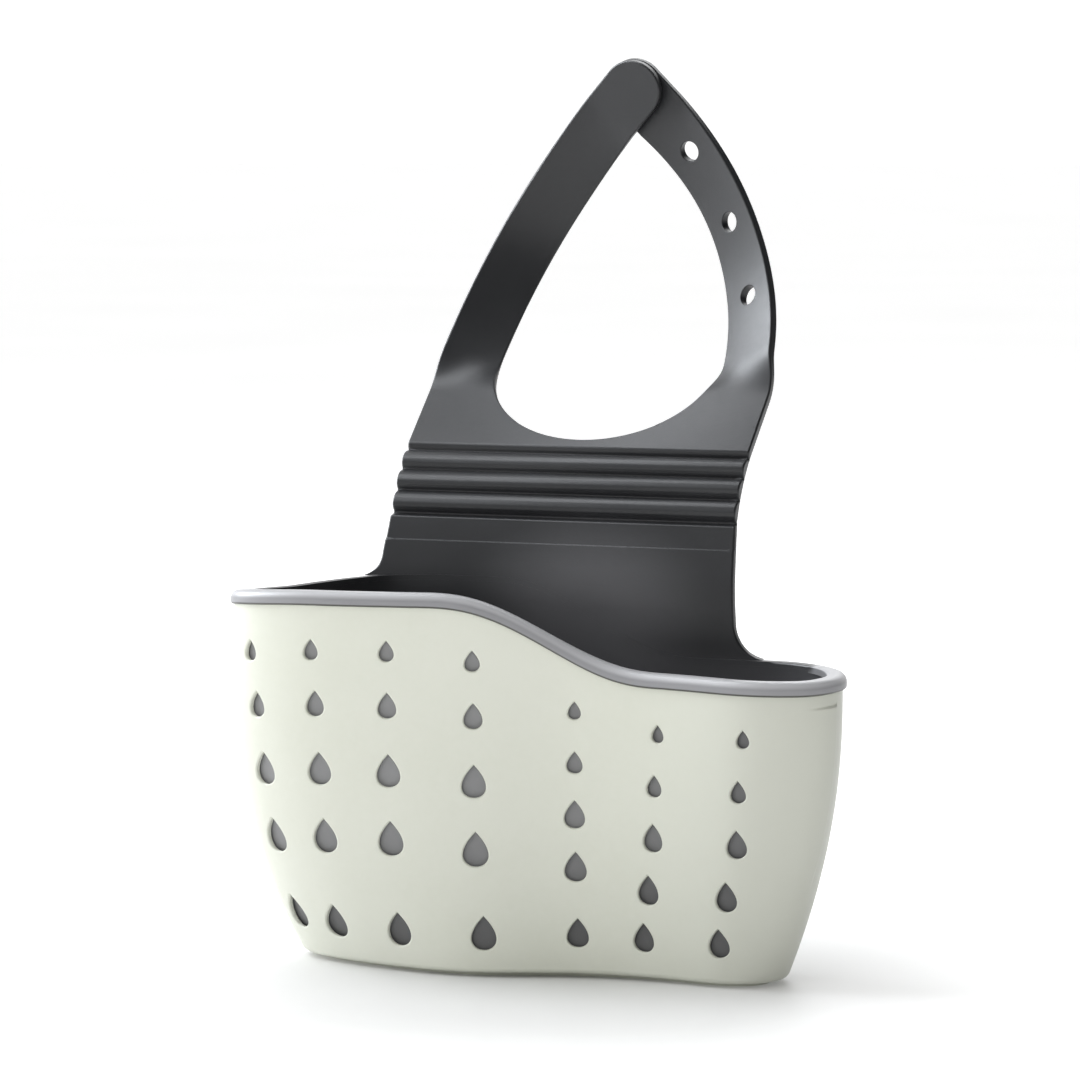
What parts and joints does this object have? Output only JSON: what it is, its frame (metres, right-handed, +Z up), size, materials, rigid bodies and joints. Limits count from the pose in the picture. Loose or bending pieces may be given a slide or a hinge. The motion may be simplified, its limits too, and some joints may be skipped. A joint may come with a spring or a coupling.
{
  "type": "sink caddy",
  "caption": "Hanging sink caddy: a rigid wavy shell with drop windows holds a soft basket whose back plate folds over and runs up into a strap of arms that snap shut in a loop.",
  "frame": {"origin": "middle of the flat underside of the shell", "axes": "+X along the width to the low end, +Y to the back where the strap leans, +Z up"},
  "size_m": [0.1905, 0.1364, 0.2762],
  "materials": {
    "shell_plastic": "satin moulded, pale green",
    "dark_silicone": "matte soft silicone, dark grey",
    "rim_silicone": "matte soft silicone, light grey on the rim",
    "strap_silicone": "satin soft silicone, dark grey"
  },
  "bodies": {
    "basket": {"outer_shell": "shell_plastic", "inner_liner": "dark_silicone", "rim_bead": "rim_silicone", "back_lip": "dark_silicone", "back_plate": "dark_silicone"},
    "first_rib": {"fold_rib_1": "dark_silicone"},
    "second_rib": {"fold_rib_2": "dark_silicone"},
    "third_rib": {"fold_rib_3": "dark_silicone"},
    "yoke": {"strap_yoke": "strap_silicone"},
    "left_strap": {"left_arm": "strap_silicone", "snap_stud": "strap_silicone"},
    "right_strap": {"right_arm": "strap_silicone"}
  },
  "joints": [
    {"name": "fold_1", "type": "hinge", "parent": "basket", "child": "first_rib", "pos_m": [-0.007, 0.03283, 0.1346], "axis": [-1, 0, 0], "range_deg": [-8.5, 25], "stiffness_Nm_per_rad": 0.6},
    {"name": "fold_2", "type": "hinge", "parent": "first_rib", "child": "second_rib", "pos_m": [-0.007, 0.03558, 0.14125], "axis": [-1, 0, 0], "range_deg": [-8.5, 25], "stiffness_Nm_per_rad": 0.6},
    {"name": "fold_3", "type": "hinge", "parent": "second_rib", "child": "third_rib", "pos_m": [-0.007, 0.03929, 0.14742], "axis": [-1, 0, 0], "range_deg": [-8.5, 25], "stiffness_Nm_per_rad": 0.6},
    {"name": "fold_4", "type": "hinge", "parent": "third_rib", "child": "yoke", "pos_m": [-0.007, 0.04387, 0.15298], "axis": [-1, 0, 0], "range_deg": [-8.5, 25], "stiffness_Nm_per_rad": 0.6},
    {"name": "left_arm_bend", "type": "hinge", "parent": "yoke", "child": "left_strap", "pos_m": [-0.0525, 0.05983, 0.17112], "axis": [1, 0, 0], "range_deg": [0, 50], "stiffness_Nm_per_rad": 0.3, "deforming": ["snap_stud"]},
    {"name": "right_arm_bend", "type": "hinge", "parent": "yoke", "child": "right_strap", "pos_m": [0.0385, 0.0617, 0.16904], "axis": [-1, 0, 0], "range_deg": [0, 50], "stiffness_Nm_per_rad": 0.3}
  ]
}
